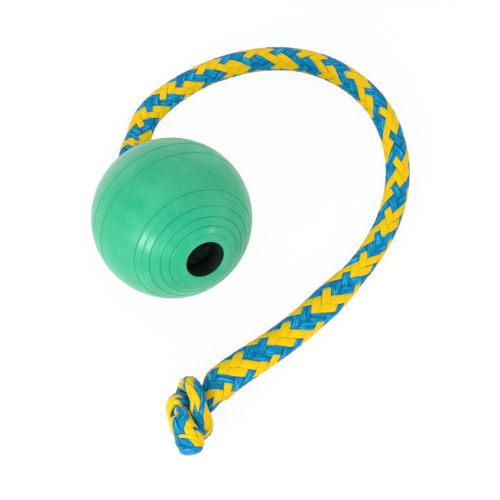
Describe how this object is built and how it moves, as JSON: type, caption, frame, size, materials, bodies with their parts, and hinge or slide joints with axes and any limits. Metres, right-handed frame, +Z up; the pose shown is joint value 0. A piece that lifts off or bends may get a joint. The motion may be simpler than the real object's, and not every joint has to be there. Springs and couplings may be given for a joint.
{
  "type": "rope ball dog toy",
  "caption": "Hollow floating rubber ball threaded on a braided rope that is knotted inside the ball and at its free end, for throwing, fetching and tugging.",
  "frame": {"origin": "the spot where the ball touches the ground, under the ball's centre", "axes": "+Z up; the ball's bore lies in the XZ plane, and its mouth faces +X and 30 degrees upwards; the free rope lies on the ground on the -X and +Y side"},
  "size_m": [0.1489, 0.1601, 0.065],
  "materials": {
    "ball_rubber": "satin foam rubber",
    "braided_rope": "glossy flat tapes, yellow and blue, in a hollow braid",
    "melted_rope_end": "melted, glossy"
  },
  "bodies": {
    "ball": {"ball": "ball_rubber"},
    "inner_knot": {"retaining_knot": "braided_rope", "retaining_knot_seal": "melted_rope_end"},
    "rope": {"rope_neck": "braided_rope", "rope": "braided_rope", "end_knot": "braided_rope", "end_knot_seal": "melted_rope_end"}
  },
  "joints": [
    {"name": "rope_draw", "type": "slide", "parent": "ball", "child": "inner_knot", "axis": [0.866, 0, 0.5], "range_m": [0, 0.004]},
    {"name": "rope_swivel", "type": "hinge", "parent": "inner_knot", "child": "rope", "pos_m": [0, 0, 0.0325], "axis": [0.866, 0, 0.5], "continuous": true}
  ]
}
